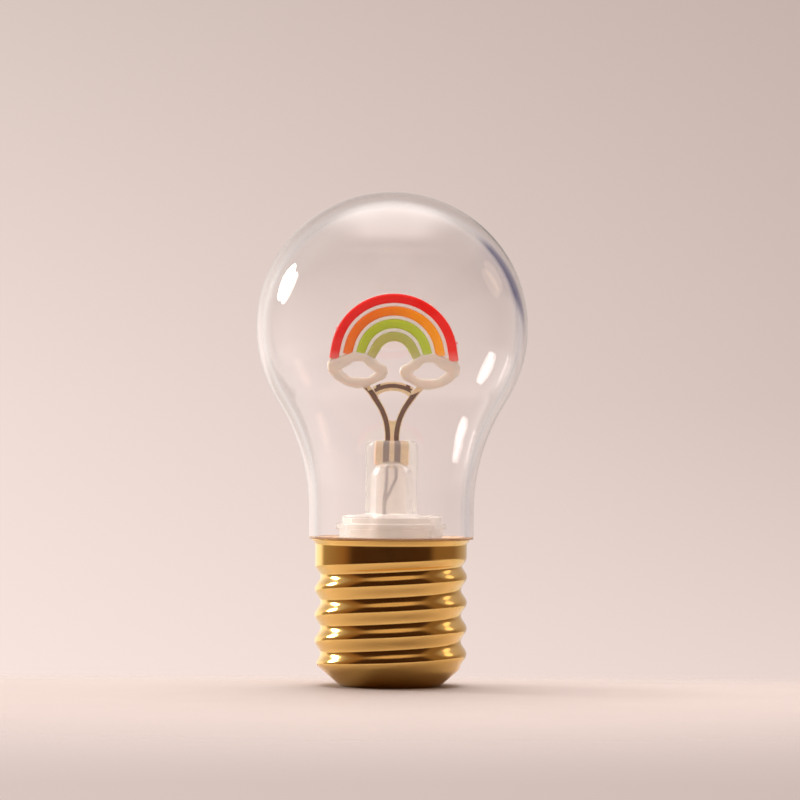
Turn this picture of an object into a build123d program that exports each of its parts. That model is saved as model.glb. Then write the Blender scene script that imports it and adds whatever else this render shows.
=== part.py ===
from build123d import *
import os
from math import acos, asin, atan2, cos, degrees, pi, radians, sin, sqrt

# Lamp that copies a screw-in light bulb: a clear bulb holds a flat LED rainbow on a stem,
# and the threaded base holds three AAA cells. Millimetres, Z up, centre of the foot at 0,0,0.
# The front, where the rainbow's faces and the coloured strips show, looks along -Y.

# Heights of the main joints
lamp_height = 145.0
ledge_height = 39.6
lip_rise = 3.4
band_depth = 4.2

# Clearances and common walls
seat_gap = 0.1
glue_gap = 0.05
running_gap = 0.1

# Bulb
bulb_radius = 39.9
bulb_wall = 2.6
neck_radius = 24.3
neck_sweep_radius = 60.0
plug_radius = 21.0
plug_wall = 1.2
bulb_edge = 0.8
neck_step_height = 3.4

# Base shell
band_radius = 22.3
lip_radius = 23.2
lip_flare = 1.0
thread_crest_radius = 22.4
thread_root_radius = 20.7
thread_pitch = 7.55
thread_crest_height = 9.4
thread_steps = 8
band_taper = 2.0
shell_bore = 18.9
shell_wall = 1.6
foot_radius = 14.65
foot_slope = 1.2
foot_edge = 0.35
foot_ring_height = 6.6
foot_ring_wall = 1.6

# Cells and their pockets
cell_diameter = 10.5
cell_spring = 0.8
cell_nub_radius = 1.9
cell_nub_length = 1.0
pocket_clearance = 0.15
pocket_web = 0.6
pocket_wall = 1.0
cell_angles = {"front": 270, "left": 150, "right": 30}

# Battery holder
holder_bottom = 3.6
holder_rise = 9.5
holder_top_wall = 0.95
holder_flange = 1.2
holder_ring_height = 3.0
holder_ring_wall = 0.9
contact_thickness = 0.2
strip_thickness = 0.3
strip_width = 1.6
strip_offset = 1.6
strip_standoff = 0.25
leaf_half = 1.5

# Twist-off battery cover and the contact carrier that rides in it without turning
cover_radius = 12.5
cover_recess = 0.3
cover_thickness = 1.5
cover_skirt_wall = 0.9
cover_skirt_top = 3.2
cover_lip = 0.35
cover_lip_height = 0.48
coin_slot_length = 15.0
coin_slot_width = 2.2
coin_slot_depth = 0.8
cover_bore_gap = 0.2
lug_radius = 0.6
lug_reach = 0.9
lug_height = 2.2
lug_count = 3
lug_start_angle = 10
lug_gap = 0.2
cover_drop = 3.0
cover_turn = 60.0
carrier_thickness = 0.8
key_angles = (210, 330)
key_inner = 8.2
key_outer = 9.8
key_width = 2.4
key_top = 9.0
key_edge = 0.4

# Stem that carries the rainbow
stem_radius = 7.65
stem_top = 72.2
stem_edge = 1.3
cap_rise = 10.5
upper_step_radius = 14.6
upper_step_height = 2.5
lower_step_radius = 16.25
lower_step_height = 1.6
skirt_radius = 15.2
rim_radius = 19.4
rim_thickness = 1.2
cavity_radius = 4.6
cavity_top = 66.1
cap_bore_gap = 0.15
screw_circle = 17.1
screw_angles = (30, 150, 270)
screw_radius = 0.9
screw_length = 6.0
screw_head_radius = 1.8
screw_head_height = 1.1
screw_boss_radius = 1.6
screw_boss_depth = 4.0

# Slide switch in the back of the plain band
switch_drop = 2.0
switch_width = 8.6
switch_body_height = 3.8
switch_depth = 3.6
switch_face = 19.2
switch_travel = 2.0
knob_width = 2.0
knob_height = 1.5
knob_tip = 22.9
knob_root = 18.4
dish_depth = 0.8
dish_length = 8.0
dish_height = 3.4
pin_pitch = 2.0
pin_width = 0.5
pin_length = 3.0

# Rainbow board, measured on its own upright axis
board_thickness = 1.0
board_lean = 1.0
tab_width = 7.4
tab_bottom = 64.8
tab_top = 71.0
slot_gap = 0.1
trace_width = 1.35
trace_thickness = 0.1
trace_offset = 1.25
board_border = 0.25
leg_start = 73.2
leg_radius = 18.5
leg_turn = 46.0
leg_end = 4.0
fork_height = 78.2
fork_half_width = 1.2
tie_radius = 10.6
tie_top = 88.0
tie_half_angle = 31.0
tie_border_below = 0.8
tie_border_above = 0.5
pad_length = 3.2
pad_width = 1.2
pad_turn = 20.0

# Coloured strips
arch_centre = 96.65
red_radius = 17.35
arch_pitch = 3.97
arch_width = 2.5
arch_thickness = 2.0
arch_edge = 0.45
arch_leg_rise = 2.9
arch_leg_drop = 3.2
arch_board_inset = 0.4
led_pitch = 3.4
led_length = 1.2
led_width = 0.6
led_height = 0.25
led_clearance = 1.4

# Clouds, as milky rings with a rounded section
cloud_centre = 10.5
cloud_height = 92.8
cloud_half_height = 5.4
cloud_thickness = 2.6
cloud_edge = 0.7
cloud_board_inset = 0.8

# Wires and resistor
wire_diameter = 1.0
wire_spread = 1.34
wire_meet = -2.3
wire_straight = 4.5
wire_overlap = 0.6
wire_bend = 3.0
resistor_radius = 0.9
resistor_length = 3.4
resistor_wire = 0.5
resistor_foot_height = 17.0
resistor_rise = 8.0
resistor_overlap = 4.0
resistor_bend = 1.5
resistor_knee_low = 7.0
resistor_knee_high = 3.0

# Heights and radii that follow from the values above
base_height = ledge_height + lip_rise
thread_top = ledge_height - band_depth
switch_height = ledge_height - switch_drop
holder_top = ledge_height + holder_rise
cap_top = ledge_height + cap_rise
bulb_centre = lamp_height - bulb_radius
shell_seat = plug_radius + seat_gap
cell_radius = cell_diameter / 2
pocket_radius = cell_radius + pocket_clearance
cluster_radius = (2 * pocket_radius + pocket_web) / sqrt(3)
lobe_radius = pocket_radius + pocket_wall
lobe_reach = cluster_radius + lobe_radius
flange_top = ledge_height + holder_flange
ceiling = holder_top - holder_top_wall
contact_height = ceiling - contact_thickness
cover_floor = cover_recess + cover_thickness
carrier_bottom = cover_floor + glue_gap
carrier_top = carrier_bottom + carrier_thickness
carrier_radius = cover_radius - cover_skirt_wall - running_gap
cell_bottom = carrier_top + cell_spring
cell_length = contact_height - cell_bottom
cover_bore = cover_radius + cover_bore_gap
holder_ring_radius = max(lobe_reach, cover_bore) + seat_gap
thread_lead = cover_drop * 360 / cover_turn
arch_radii = {
    "red": red_radius,
    "orange": red_radius - arch_pitch,
    "lime": red_radius - 2 * arch_pitch,
    "olive": red_radius - 3 * arch_pitch,
}
lean = Pos(0, 0, tab_bottom) * Rot(0, board_lean, 0) * Pos(0, 0, -tab_bottom)


def polar(radius, angle):
    """Point on a circle about the lamp's axis."""
    return (radius * cos(radians(angle)), radius * sin(radians(angle)))


def cell_place(name):
    """Axis of one cell in the plan view."""
    return polar(cluster_radius, cell_angles[name])


def turned(corners):
    """Ring or disc from its (radius, height) corners."""
    outline = Polyline(*[(r, 0, z) for r, z in corners], close=True)
    return revolve(make_face(outline), Axis.Z)


def rod(radius, low, high, place=(0, 0)):
    """Upright cylinder between two heights."""
    column = Cylinder(radius, high - low, align=(Align.CENTER, Align.CENTER, Align.MIN))
    return Pos(place[0], place[1], low) * column


def block(low, high):
    """Box between two opposite corners."""
    size = [b - a for a, b in zip(low, high)]
    middle = [(a + b) / 2 for a, b in zip(low, high)]
    return Pos(*middle) * Box(*size)


def link(start, end, width, low, high):
    """Flat bar with round ends between two points of the plan view."""
    run = (end[0] - start[0], end[1] - start[1])
    middle = ((start[0] + end[0]) / 2, (start[1] + end[1]) / 2)
    turn = degrees(atan2(run[1], run[0]))
    outline = SlotCenterToCenter(sqrt(run[0] ** 2 + run[1] ** 2), width)
    return extrude(Pos(middle[0], middle[1], low) * Rot(0, 0, turn) * outline, high - low)


def upright(sketch, thickness):
    """Plate whose drawing stands in the XZ plane, centred on the board's middle plane."""
    return lean * extrude(Plane.XZ * sketch, thickness / 2, both=True)


def pocket_lobes(radius, low, high):
    """Three upright cylinders on the cells' axes."""
    lobes = [rod(radius, low, high, cell_place(name)) for name in cell_angles]
    return lobes[0] + lobes[1] + lobes[2]


def threaded_body():
    """One-start round thread: circles whose centres climb a helix half a thread deep."""
    middle = (thread_crest_radius + thread_root_radius) / 2
    half_depth = (thread_crest_radius - thread_root_radius) / 2
    count = round(thread_steps * thread_top / thread_pitch)
    rings = []
    for i in range(count + 1):
        z = thread_top * i / count
        centre = polar(half_depth, 360 * (z - thread_crest_height) / thread_pitch)
        rings.append(Pos(centre[0], centre[1], z) * Circle(middle))
    return loft(rings, ruled=True)


def foot_envelope():
    """Cone that closes the thread in to the foot, with a soft edge on the table."""
    top = thread_top + 1
    reach = thread_crest_radius + 1
    cone_top = (reach - foot_radius) / foot_slope
    return turned([
        (0, 0),
        (foot_radius - foot_edge, 0),
        (foot_radius + foot_edge * foot_slope, foot_edge),
        (reach, cone_top),
        (reach, top),
        (0, top),
    ])


def plain_band():
    """Smooth band above the thread, with the flared lip that the bulb stands on."""
    foot = thread_top - band_taper
    outline = FilletPolyline(
        (0, 0, foot),
        (band_radius, 0, foot),
        (band_radius, 0, base_height - lip_flare),
        (lip_radius, 0, base_height),
        (0, 0, base_height),
        radius=[0, band_taper, 0, 0, 0],
        close=True,
    )
    return revolve(make_face(outline), Axis.Z)


def shell_cavity():
    """Hollow of the base: bulb seat, ledge, bore and the floor that follows the foot cone."""
    ring = cover_bore + foot_ring_wall + seat_gap
    offset_in = shell_wall * sqrt(1 + foot_slope**2)
    floor_at_ring = (ring - foot_radius + offset_in) / foot_slope
    floor_at_bore = (shell_bore - foot_radius + offset_in) / foot_slope
    bore = turned([
        (0, foot_ring_height),
        (ring, foot_ring_height),
        (ring, floor_at_ring),
        (shell_bore, floor_at_bore),
        (shell_bore, ledge_height),
        (shell_seat, ledge_height),
        (shell_seat, base_height + 1),
        (0, base_height + 1),
    ])
    mouth = rod(cover_bore, -1, foot_ring_height + 1)
    seat = rod(holder_ring_radius + seat_gap, holder_bottom - seat_gap, foot_ring_height + 1)
    return bore + mouth + seat


def lug_grooves():
    """Sloping grooves in the foot ring that the cover's lugs climb as it is turned shut."""
    run_in = lug_height + 1.4
    height = lug_radius + lug_gap
    depth = lug_reach + lug_gap + 1
    radius = cover_bore + lug_reach - depth / 2
    helix = Helix(thread_lead, run_in, radius)
    profile = Plane(origin=helix @ 0, x_dir=(1, 0, 0), z_dir=helix % 0) * Rectangle(depth, 2 * height)
    channel = sweep(profile, helix, is_frenet=True)
    end_turn = 360 * run_in / thread_lead
    reach = Cylinder(height, depth, rotation=(0, 90, 0))
    end = Rot(0, 0, end_turn) * Pos(radius, 0, run_in) * reach
    groove = Pos(0, 0, lug_height - run_in) * (channel + end)
    first = lug_start_angle - end_turn
    turns = [first + 360 / lug_count * i for i in range(lug_count)]
    return [Rot(0, 0, turn) * groove for turn in turns]


def base_shell():
    """Threaded base with the cell bay, the switch window and the mouth of the cover."""
    shell = (threaded_body() & foot_envelope()) + plain_band()
    shell -= shell_cavity()
    for groove in lug_grooves():
        shell -= groove
    half_width = switch_width / 2 + seat_gap
    half_height = switch_body_height / 2 + seat_gap
    shell -= block(
        (-half_width, 0, switch_height - half_height),
        (half_width, switch_face + seat_gap / 2, switch_height + half_height),
    )
    slot_half = (knob_width + switch_travel) / 2 + lug_gap
    knob_half = knob_height / 2 + lug_gap
    shell -= block(
        (-slot_half, 0, switch_height - knob_half),
        (slot_half, band_radius + 1, switch_height + knob_half),
    )
    dish = Plane.XZ.offset(dish_depth - band_radius) * Pos(0, switch_height) * SlotOverall(
        dish_length, dish_height
    )
    shell -= extrude(dish, -dish_depth - 1)
    return shell


def bulb_profile(thickness_in):
    """Half outline of the bulb's wall face that lies a thickness inside the outer one."""
    sphere = bulb_radius - thickness_in
    sweep_radius = neck_sweep_radius + thickness_in
    neck = neck_radius - thickness_in
    rise = sqrt((bulb_radius + neck_sweep_radius) ** 2 - (neck_radius + neck_sweep_radius) ** 2)
    sweep_centre = (neck_radius + neck_sweep_radius, bulb_centre - rise)
    tilt = asin(rise / (bulb_radius + neck_sweep_radius))
    join = (sphere * cos(tilt), bulb_centre - sphere * sin(tilt))
    half_tilt = tilt / 2
    middle = (
        sweep_centre[0] - sweep_radius * cos(half_tilt),
        sweep_centre[1] + sweep_radius * sin(half_tilt),
    )
    neck_end = (neck, sweep_centre[1])
    side = (sphere * cos(radians(30)), bulb_centre + sphere * sin(radians(30)))
    lower = ThreePointArc(*[(r, 0, z) for r, z in (neck_end, middle, join)])
    crown = ThreePointArc(*[(r, 0, z) for r, z in (join, side, (0, bulb_centre + sphere))])
    return neck_end, lower + crown


def bulb_envelope():
    """One-piece clear bulb with the plug that drops into the base."""
    outer_neck, outer = bulb_profile(0)
    inner_neck, inner = bulb_profile(bulb_wall)
    plug_inner = plug_radius - plug_wall
    outside = Polyline(
        (plug_inner, 0, flange_top),
        (plug_radius, 0, flange_top),
        (plug_radius, 0, base_height),
        (neck_radius - bulb_edge, 0, base_height),
        (neck_radius, 0, base_height + bulb_edge),
        (outer_neck[0], 0, outer_neck[1]),
    )
    inside = Polyline(
        (inner_neck[0], 0, inner_neck[1]),
        (inner_neck[0], 0, base_height + neck_step_height),
        (plug_inner, 0, base_height + neck_step_height / 3),
        (plug_inner, 0, flange_top),
    )
    crown_wall = Line((0, 0, lamp_height), (0, 0, lamp_height - bulb_wall))
    return revolve(make_face(outside + outer + crown_wall + inner + inside), Axis.Z)


def stem_post():
    """Clear cap over the cell holder, with the stem tube that grips the rainbow's tab."""
    lower_step = cap_top - upper_step_height
    skirt_top = lower_step - lower_step_height
    post = turned([
        (0, flange_top),
        (rim_radius, flange_top),
        (rim_radius, flange_top + rim_thickness),
        (skirt_radius, flange_top + rim_thickness),
        (skirt_radius, skirt_top),
        (lower_step_radius, skirt_top),
        (lower_step_radius, lower_step),
        (upper_step_radius, lower_step),
        (upper_step_radius, cap_top),
        (0, cap_top),
    ])
    tube = rod(stem_radius, cap_top, stem_top)
    tube = chamfer(tube.edges().group_by(Axis.Z)[-1], stem_edge)
    post += tube
    post -= rod(lobe_reach + cap_bore_gap, flange_top - 1, holder_top + seat_gap)
    post -= rod(cavity_radius, holder_top, cavity_top - cavity_radius)
    post -= Pos(0, 0, cavity_top - cavity_radius) * Sphere(cavity_radius)
    slot = Pos(0, (stem_top + tab_bottom) / 2) * Rectangle(
        tab_width + 2 * slot_gap, stem_top - tab_bottom + 2 * stem_edge
    )
    slot = Pos(0, stem_edge - slot_gap) * slot
    post -= upright(slot, board_thickness + 2 * slot_gap + 2 * trace_thickness)
    for angle in screw_angles:
        place = polar(screw_circle, angle)
        post -= rod(screw_radius + lug_gap, flange_top - 1, flange_top + rim_thickness + 1, place)
    return post


def stem_screws():
    """Three pan-head screws that fix the stem's rim to the holder."""
    seat = flange_top + rim_thickness
    screws = []
    for angle in screw_angles:
        place = polar(screw_circle, angle)
        head = rod(screw_head_radius, seat, seat + screw_head_height, place)
        screws.append(head + rod(screw_radius, seat - screw_length, seat, place))
    return Compound(children=screws)


def bar_side():
    """Distance from the axis to the flat strips that run down the holder's back."""
    lobe = cell_place("left")
    reach = strip_offset + strip_width / 2 + lobe[0]
    return lobe[1] + sqrt(lobe_radius**2 - reach**2) + strip_standoff


def battery_holder():
    """Three-pocket cell holder whose flange is clamped between the ledge and the bulb."""
    holder = pocket_lobes(lobe_radius, holder_bottom, holder_top)
    holder += rod(plug_radius, ledge_height, flange_top)
    ring_top = holder_bottom + holder_ring_height
    ring = rod(holder_ring_radius, holder_bottom, ring_top)
    ring -= rod(holder_ring_radius - holder_ring_wall, holder_bottom - 1, ring_top + 1)
    holder += ring
    for angle in screw_angles:
        place = polar(screw_circle, angle)
        holder += rod(screw_boss_radius, ledge_height - screw_boss_depth, ledge_height, place)
    holder -= pocket_lobes(pocket_radius, holder_bottom - 1, ceiling)
    for angle in screw_angles:
        place = polar(screw_circle, angle)
        holder -= rod(screw_radius, flange_top + rim_thickness - screw_length, flange_top + 1, place)
    holder -= bridge_plate("left", "right", contact_height, ceiling, seat_gap)
    holder -= positive_plate(seat_gap)
    holder -= positive_tab(seat_gap)
    side = bar_side()
    half = strip_width / 2 + seat_gap
    holder -= block(
        (-strip_offset - half, 0, holder_top - strip_thickness),
        (-strip_offset + half, side + 1, holder_top + 1),
    )
    holder -= block(
        (-strip_offset - half, side - seat_gap, ledge_height - 1),
        (-strip_offset + half, side + strip_thickness + seat_gap, flange_top + 1),
    )
    return holder


def bridge_plate(start, end, low, high, gap=0.0):
    """Flat link between two cells, grown all round by a gap for its recess."""
    return link(cell_place(start), cell_place(end), 2 * cell_nub_radius + 2 * gap, low, high)


def leaf(name, base, rise):
    """Sprung tongue that bows from a contact plate to a cell's flat end."""
    place = cell_place(name)
    half = leaf_half
    outline = Polyline(
        (-half, 0),
        (-half / 3, rise),
        (half / 3, rise),
        (half, 0),
        (half - contact_thickness, 0),
        (half / 3 - contact_thickness / 2, rise - contact_thickness),
        (contact_thickness / 2 - half / 3, rise - contact_thickness),
        (contact_thickness - half, 0),
        close=True,
    )
    strip = extrude(Plane.XZ * make_face(outline), strip_width / 2, both=True)
    return Pos(place[0], place[1], base) * strip


def cell(name, nub_up):
    """AAA cell, its button up or down."""
    can_length = cell_length - cell_nub_length
    body = rod(cell_radius, 0, can_length) + rod(cell_nub_radius, can_length, cell_length)
    place = cell_place(name)
    if nub_up:
        return Pos(place[0], place[1], cell_bottom) * body
    return Pos(place[0], place[1], contact_height - cell_spring) * Rot(180, 0, 0) * body


def positive_tab_place():
    """Foot of the solder tab, inside the stem's bore."""
    front = cell_place("front")
    return (wire_meet + 0.4, front[1] + cell_radius - 0.8)


def positive_plate(gap=0.0):
    """Plate over the front cell's button, reaching to the solder tab."""
    return link(
        cell_place("front"), positive_tab_place(), 2 * (cell_nub_radius + gap), contact_height, ceiling
    )


def positive_tab(gap=0.0):
    """Upright tab that the positive lead is soldered to."""
    place = positive_tab_place()
    half = strip_width / 2 + gap
    top = holder_top + strip_width / 2
    return block(
        (place[0] - half, place[1] - gap, ceiling - contact_thickness / 2 - gap),
        (place[0] + half, place[1] + strip_thickness + gap, top),
    )


def top_positive_contact():
    """Contact of the front cell's button with its solder tab."""
    return positive_plate() + positive_tab()


def top_bridge_contact():
    """Contact that joins the left cell's flat end to the right cell's button."""
    plate = bridge_plate("left", "right", contact_height, ceiling)
    place = cell_place("left")
    tongue = leaf("left", 0, cell_spring)
    flipped = Pos(place[0], place[1], contact_height) * Rot(180, 0, 0) * Pos(-place[0], -place[1], 0)
    return plate + flipped * tongue


def bottom_bridge_contact():
    """Contact in the carrier that joins the front cell's flat end to the left cell's button."""
    plate = bridge_plate("front", "left", carrier_top - contact_thickness, carrier_top)
    return plate + leaf("front", carrier_top, cell_spring)


def finger_place():
    """Point of the carrier below the holder's side strip."""
    return (strip_offset, bar_side() - strip_width / 2)


def terminal_plate(high, gap=0.0):
    """Plate under the right cell, reaching to the side strip's foot, or its grown recess."""
    width = 2 * (leaf_half + contact_thickness + gap)
    return link(cell_place("right"), finger_place(), width, carrier_top - contact_thickness, high)


def bottom_terminal_contact():
    """Contact of the right cell's flat end, with a raised finger for the side strip."""
    place = finger_place()
    half = strip_width / 2
    finger = block(
        (place[0] - half / 2, place[1] - half, carrier_top - contact_thickness),
        (place[0] + half / 2, place[1], holder_bottom - strip_thickness),
    )
    return terminal_plate(carrier_top) + leaf("right", carrier_top, cell_spring) + finger


def contact_carrier():
    """Disc that holds the lower contacts, kept from turning by two keys in the holder."""
    carrier = rod(carrier_radius, carrier_bottom, carrier_top)
    recess = carrier_top - contact_thickness
    carrier -= bridge_plate("front", "left", recess, carrier_top + 1, glue_gap)
    carrier -= terminal_plate(carrier_top + 1, glue_gap)
    half = key_width / 2
    for angle in key_angles:
        key = block((key_inner, -half, carrier_bottom), (key_outer, half, key_top))
        key = chamfer(key.edges().group_by(Axis.Z)[-1], key_edge)
        carrier += Rot(0, 0, angle) * key
    return carrier


def battery_cover():
    """Round cover with a coin slot, three lugs and the lip that traps the carrier."""
    skirt_inner = cover_radius - cover_skirt_wall
    lip_bottom = cover_skirt_top - cover_lip_height
    cover = turned([
        (0, cover_recess),
        (cover_radius, cover_recess),
        (cover_radius, cover_skirt_top),
        (skirt_inner - cover_lip, cover_skirt_top),
        (skirt_inner - cover_lip, lip_bottom),
        (skirt_inner, lip_bottom),
        (skirt_inner, cover_floor),
        (0, cover_floor),
    ])
    slot_top = cover_recess + coin_slot_depth
    cover -= block(
        (-coin_slot_length / 2, -coin_slot_width / 2, cover_recess - 1),
        (coin_slot_length / 2, coin_slot_width / 2, slot_top),
    )
    inner_end = cover_radius - cover_skirt_wall / 2
    outer_end = cover_bore + lug_reach - lug_gap
    lug = Pos((inner_end + outer_end) / 2, 0, lug_height) * Cylinder(
        lug_radius, outer_end - inner_end, rotation=(0, 90, 0)
    )
    for i in range(lug_count):
        cover += Rot(0, 0, lug_start_angle + 360 / lug_count * i) * lug
    return cover


def switch_body():
    """Case of the slide switch, open at the front for the knob."""
    half_width = switch_width / 2
    half_height = switch_body_height / 2
    case = block(
        (-half_width, switch_face - switch_depth, switch_height - half_height),
        (half_width, switch_face, switch_height + half_height),
    )
    window = (knob_width + switch_travel) / 2 + running_gap
    knob_half = knob_height / 2 + running_gap
    case -= block(
        (-window, knob_root - running_gap, switch_height - knob_half),
        (window, switch_face + 1, switch_height + knob_half),
    )
    return case


def switch_terminals():
    """Three pins at the back of the slide switch."""
    back = switch_face - switch_depth
    pins = []
    for i in (-1, 0, 1):
        low = (i * pin_pitch - pin_width / 2, back - pin_length, switch_height - pin_width / 2)
        high = (i * pin_pitch + pin_width / 2, back, switch_height + pin_width / 2)
        pins.append(block(low, high))
    return Compound(children=pins)


def switch_knob():
    """Thumb knob at its off end, with a ridged tip."""
    centre = -switch_travel / 2
    half_height = knob_height / 2
    knob = block(
        (centre - knob_width / 2, knob_root, switch_height - half_height),
        (centre + knob_width / 2, knob_tip, switch_height + half_height),
    )
    groove = knob_width / 6
    for i in (-1, 1):
        knob -= block(
            (centre + (i - 0.5) * groove, knob_tip - groove, switch_height - half_height - 1),
            (centre + (i + 0.5) * groove, knob_tip + 1, switch_height + half_height + 1),
        )
    return knob


def lead_strip():
    """Strip from the negative lead over the holder and down to the switch's first pin."""
    side = bar_side()
    left = -strip_offset - strip_width / 2
    right = -strip_offset + strip_width / 2
    outer = side + strip_thickness
    tab_y = strip_thickness
    strip = block((left, tab_y, holder_top - strip_thickness), (right, outer, holder_top))
    strip += block((left, side, switch_height - strip_thickness / 2), (right, outer, holder_top))
    pin_end = switch_face - switch_depth - pin_length
    strip += block(
        (left, side, switch_height - strip_thickness / 2),
        (right, pin_end, switch_height + strip_thickness / 2),
    )
    strip += block((left, tab_y, holder_top - strip_thickness), (right, 2 * tab_y, cap_top))
    return strip


def resistor_foot():
    """Lower end of the resistor's wire, against the side strip."""
    return (strip_offset, bar_side() + strip_thickness + resistor_wire / 2, resistor_foot_height)


def battery_strip():
    """Strip up the holder's back from the carrier's finger to the resistor."""
    side = bar_side()
    left = strip_offset - strip_width / 2
    right = strip_offset + strip_width / 2
    outer = side + strip_thickness
    foot_bottom = holder_bottom - strip_thickness
    top = resistor_foot_height + resistor_overlap
    strip = block((left, side, foot_bottom), (right, outer, top))
    strip += block((left, side - strip_width, foot_bottom), (right, outer, holder_bottom))
    return strip


def series_resistor():
    """Axial resistor that drops the cells' voltage, between the side strip and the switch."""
    foot = resistor_foot()
    pin_end = switch_face - switch_depth - pin_length - resistor_wire / 2
    top = (pin_pitch, pin_end, switch_height + pin_width / 2)
    knee_low = (foot[0], foot[1], switch_height - resistor_knee_low)
    knee_high = (pin_pitch, pin_end, switch_height - resistor_knee_high)
    path = FilletPolyline(foot, knee_low, knee_high, top, radius=[resistor_bend, resistor_bend])
    section = Plane(origin=foot, z_dir=(0, 0, 1)) * Circle(resistor_wire / 2)
    wire = sweep(section, path)
    middle = foot[2] + resistor_rise
    body = rod(
        resistor_radius, middle - resistor_length / 2, middle + resistor_length / 2, (foot[0], foot[1])
    )
    return Compound(children=[body + wire])


def lead_wire(points, radii):
    """Insulated lead from the rainbow's tab down the stem to its solder tab."""
    path = FilletPolyline(*points, radius=radii)
    section = Plane(origin=points[0], z_dir=(0, 0, -1)) * Circle(wire_diameter / 2)
    return sweep(section, path)


def lead_wires():
    """Positive and negative leads, which swing to the left as they go down."""
    front = -board_thickness / 2 - trace_thickness - wire_diameter / 2
    top = tab_bottom + wire_overlap
    bottom = holder_top + seat_gap
    positive = positive_tab_place()
    positive_y = positive[1] - wire_diameter / 2
    negative_y = 2 * strip_thickness + wire_diameter / 2
    negative_x = -strip_offset - strip_width / 4
    plus = lead_wire(
        [
            (-wire_spread, front, top),
            (-wire_spread, front, top - wire_straight),
            (positive[0], positive_y, bottom + wire_straight),
            (positive[0], positive_y, bottom),
        ],
        [wire_bend, wire_bend],
    )
    minus = lead_wire(
        [
            (wire_spread, front, top),
            (wire_spread, front, top - wire_straight),
            (negative_x, negative_y, bottom + wire_straight),
            (negative_x, negative_y, bottom),
        ],
        [wire_bend, wire_bend],
    )
    return plus, minus


def arch(radius, width, drop):
    """Half ring whose legs leave it a little above the centre and run on straight."""
    turn = asin(arch_leg_rise / radius)
    length = (arch_leg_rise + drop) / cos(turn)
    outer = radius + width / 2
    inner = radius - width / 2

    def start(r, side):
        return (side * r * cos(turn), arch_centre + r * sin(turn))

    def end(r, side):
        x, z = start(r, side)
        return (x + side * length * sin(turn), z - length * cos(turn))

    edges = ThreePointArc(start(outer, -1), (0, arch_centre + outer), start(outer, 1))
    edges += Polyline(start(outer, 1), end(outer, 1), end(inner, 1), start(inner, 1))
    edges += ThreePointArc(start(inner, 1), (0, arch_centre + inner), start(inner, -1))
    edges += Polyline(start(inner, -1), end(inner, -1), end(outer, -1), start(outer, -1))
    return make_face(edges)


def cloud_outline(side):
    """Outer edge of a cloud: a flat oval of soft lobes."""
    corners = [
        (8.9, 3.7, 2.2),
        (9.3, -1.3, 2.4),
        (2.6, -5.7, 2.6),
        (-3.2, -5.6, 2.0),
        (-5.2, -3.9, 1.6),
        (-8.8, -3.7, 2.0),
        (-9.2, 0.9, 1.6),
        (-5.9, 2.1, 1.8),
        (-1.2, 6.1, 3.0),
    ]
    return cloud_shape(corners, side)


def cloud_opening(side):
    """Hole in a cloud, with the small hump in its lower edge."""
    corners = [
        (5.6, -0.1, 0.5),
        (3.3, -2.5, 0.9),
        (-2.8, -2.5, 0.9),
        (-5.4, -1.2, 0.5),
        (-1.8, 2.5, 1.3),
        (1.6, 2.5, 1.3),
    ]
    hump = Pos(side * (cloud_centre + 0.4), cloud_height - 3.6) * Circle(1.8)
    return cloud_shape(corners, side) - hump


def cloud_shape(corners, side):
    """Face from (out, up, corner radius) points about a cloud's centre."""
    points = [(side * (cloud_centre + u), cloud_height + v) for u, v, r in corners]
    radii = [r for u, v, r in corners]
    return make_face(FilletPolyline(*points, radius=radii, close=True))


def cloud(side, board):
    """Milky ring moulded round the board, with its rims drawn in."""
    ring = upright(cloud_outline(side) - cloud_opening(side), cloud_thickness)
    rims = ring.edges().group_by(Axis.Y)
    ring = chamfer(rims[0] + rims[-1], cloud_edge)
    return ring - board


def leg(side, width):
    """Board leg: straight up from the tab, then bending out to a cloud."""
    turn = radians(leg_turn)
    centre = (trace_offset + leg_radius, leg_start)

    def bend(radius, angle):
        return (side * (centre[0] - radius * cos(angle)), centre[1] + radius * sin(angle))

    def tip(radius):
        x, z = bend(radius, turn)
        return (x + side * leg_end * sin(turn), z + leg_end * cos(turn))

    near = leg_radius - width / 2
    far = leg_radius + width / 2
    near_foot = (side * (centre[0] - near), tab_bottom)
    far_foot = (side * (centre[0] - far), tab_bottom)
    edges = Line(near_foot, bend(near, 0))
    edges += ThreePointArc(bend(near, 0), bend(near, turn / 2), bend(near, turn))
    edges += Polyline(bend(near, turn), tip(near), tip(far), bend(far, turn))
    edges += ThreePointArc(bend(far, turn), bend(far, turn / 2), bend(far, 0))
    edges += Polyline(bend(far, 0), far_foot, near_foot)
    return make_face(edges)


def tie(inner, outer):
    """Curved bar that joins the two legs below the clouds."""
    centre = tie_top - tie_radius

    def at(radius, angle):
        return (radius * sin(radians(angle)), centre + radius * cos(radians(angle)))

    edges = ThreePointArc(at(outer, -tie_half_angle), at(outer, 0), at(outer, tie_half_angle))
    edges += Line(at(outer, tie_half_angle), at(inner, tie_half_angle))
    edges += ThreePointArc(at(inner, tie_half_angle), at(inner, 0), at(inner, -tie_half_angle))
    edges += Line(at(inner, -tie_half_angle), at(outer, -tie_half_angle))
    return make_face(edges)


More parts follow.
